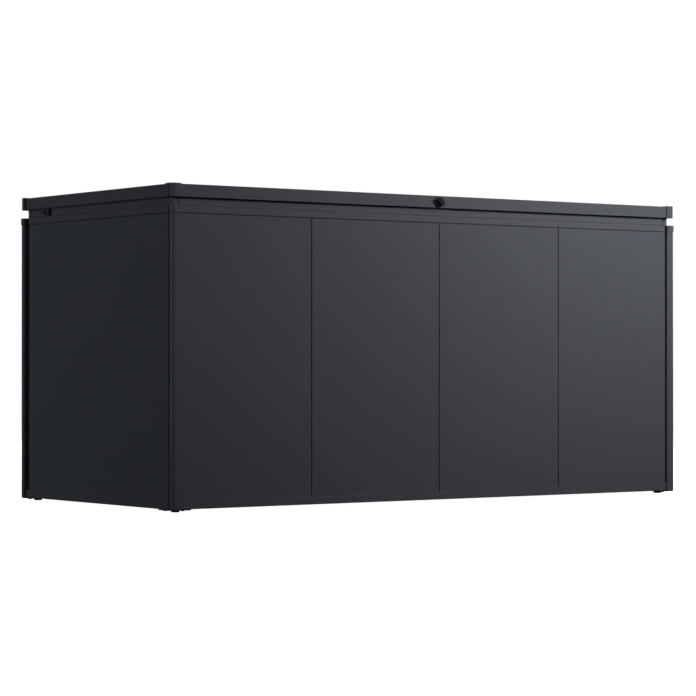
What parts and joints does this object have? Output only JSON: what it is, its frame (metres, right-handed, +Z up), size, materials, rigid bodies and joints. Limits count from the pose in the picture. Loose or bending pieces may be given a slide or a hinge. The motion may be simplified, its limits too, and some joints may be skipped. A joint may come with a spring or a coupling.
{
  "type": "garden storage box",
  "caption": "Long sheet-metal garden storage box on low feet, with a flat lid on rear hinges and gas struts, a turning lock, corner posts and panelled walls.",
  "frame": {"origin": "on the floor, under the middle of the whole box with its knob", "axes": "+X to the right along the long front, -Y out of the front with the lock, +Z up"},
  "size_m": [1.86, 0.8582, 0.8963],
  "materials": {
    "panel_paint": "satin anthracite powder coat",
    "post_paint": "satin anthracite powder coat",
    "frame_paint": "satin anthracite powder coat",
    "lid_paint": "satin anthracite powder coat",
    "hinge_black": "black zinc",
    "strut_black": "gloss black paint",
    "strut_rod_chrome": "polished",
    "zinc_plate": "zinc plated",
    "pin_steel": "plain steel",
    "floor_aluminium": "mill finish",
    "lock_plastic": "fine texture",
    "black_rubber": "matt",
    "seal_rubber": "matt"
  },
  "bodies": {
    "base": {"bottom_rail_front": "frame_paint", "bottom_rail_left": "frame_paint", "bottom_rail_rear": "frame_paint", "bottom_rail_right": "frame_paint", "collar_corners": "frame_paint", "collar_front": "frame_paint", "collar_left": "frame_paint", "collar_rear": "frame_paint", "collar_right": "frame_paint", "corner_fasteners": "zinc_plate", "corner_plates": "hinge_black", "corner_post_front_left": "post_paint", "corner_post_front_right": "post_paint", "corner_post_rear_left": "post_paint", "corner_post_rear_right": "post_paint", "floor_beams": "zinc_plate", "floor_panel": "floor_aluminium", "front_panel_1": "panel_paint", "front_panel_2": "panel_paint", "front_panel_3": "panel_paint", "front_panel_4": "panel_paint", "hinge_base_leaves": "hinge_black", "hinge_pins": "pin_steel", "lock_keeper": "frame_paint", "post_caps": "post_paint", "rear_panel_1": "panel_paint", "rear_panel_2": "panel_paint", "rear_panel_3": "panel_paint", "rear_panel_4": "panel_paint", "rim_seal": "seal_rubber", "seam_bolts": "zinc_plate", "seam_strips": "seal_rubber", "side_panel_left": "panel_paint", "side_panel_right": "panel_paint", "stay_fasteners": "zinc_plate", "stay_plates": "frame_paint", "strut_anchor_studs": "zinc_plate", "strut_gusset_left": "zinc_plate", "strut_gusset_right": "zinc_plate", "top_rail_front": "frame_paint", "top_rail_left": "frame_paint", "top_rail_rear": "frame_paint", "top_rail_right": "frame_paint"},
    "lid": {"lid_skin": "lid_paint", "lid_corners": "lid_paint", "lid_frames": "frame_paint", "hinge_lid_leaves": "hinge_black", "lid_strut_brackets": "zinc_plate", "lock_housing": "lock_plastic"},
    "lock": {"lock_knob": "lock_plastic", "lock_cam": "zinc_plate"},
    "key": {"key_plug": "hinge_black"},
    "strut_tube_left": {"strut_cylinder_left": "strut_black"},
    "strut_tube_right": {"strut_cylinder_right": "strut_black"},
    "strut_piston_left": {"strut_rod_left": "strut_rod_chrome"},
    "strut_piston_right": {"strut_rod_right": "strut_rod_chrome"},
    "foot_front_left_body": {"foot_front_left": "black_rubber"},
    "foot_front_right_body": {"foot_front_right": "black_rubber"},
    "foot_rear_left_body": {"foot_rear_left": "black_rubber"},
    "foot_rear_right_body": {"foot_rear_right": "black_rubber"}
  },
  "joints": [
    {"name": "lid_hinge", "type": "hinge", "parent": "base", "child": "lid", "pos_m": [0, 0.4171, 0.845], "axis": [-1, 0, 0], "range_deg": [0, 80]},
    {"name": "strut_left_swing", "type": "hinge", "parent": "base", "child": "strut_tube_left", "pos_m": [-0.864, 0.34005, 0.63893], "axis": [-1, 0, 0], "range_deg": [0, 40]},
    {"name": "strut_left_rod_turn", "type": "hinge", "parent": "lid", "child": "strut_piston_left", "pos_m": [-0.864, 0.19731, 0.8546], "axis": [-1, 0, 0], "range_deg": [-40, 0]},
    {"name": "strut_right_swing", "type": "hinge", "parent": "base", "child": "strut_tube_right", "pos_m": [0.864, 0.34005, 0.63893], "axis": [-1, 0, 0], "range_deg": [0, 40]},
    {"name": "strut_right_rod_turn", "type": "hinge", "parent": "lid", "child": "strut_piston_right", "pos_m": [0.864, 0.19731, 0.8546], "axis": [-1, 0, 0], "range_deg": [-40, 0]},
    {"name": "lock_turn", "type": "hinge", "parent": "lid", "child": "lock", "pos_m": [-0.006, -0.4149, 0.8765], "axis": [0, 1, 0], "range_deg": [0, 90]},
    {"name": "key_turn", "type": "hinge", "parent": "lock", "child": "key", "pos_m": [-0.006, -0.4149, 0.8765], "axis": [0, 1, 0], "range_deg": [0, 90]},
    {"name": "foot_front_left_turn", "type": "hinge", "parent": "base", "child": "foot_front_left_body", "pos_m": [-0.888, -0.3789, 0], "axis": [0, 0, 1], "continuous": true},
    {"name": "foot_front_right_turn", "type": "hinge", "parent": "base", "child": "foot_front_right_body", "pos_m": [0.888, -0.3789, 0], "axis": [0, 0, 1], "continuous": true},
    {"name": "foot_rear_left_turn", "type": "hinge", "parent": "base", "child": "foot_rear_left_body", "pos_m": [-0.888, 0.3871, 0], "axis": [0, 0, 1], "continuous": true},
    {"name": "foot_rear_right_turn", "type": "hinge", "parent": "base", "child": "foot_rear_right_body", "pos_m": [0.888, 0.3871, 0], "axis": [0, 0, 1], "continuous": true}
  ],
  "couplings": [
    {"joint": "strut_left_swing", "follows": "lid_hinge", "ratio": 0.5},
    {"joint": "strut_left_rod_turn", "follows": "lid_hinge", "ratio": -0.5},
    {"joint": "strut_right_swing", "follows": "lid_hinge", "ratio": 0.5},
    {"joint": "strut_right_rod_turn", "follows": "lid_hinge", "ratio": -0.5}
  ]
}
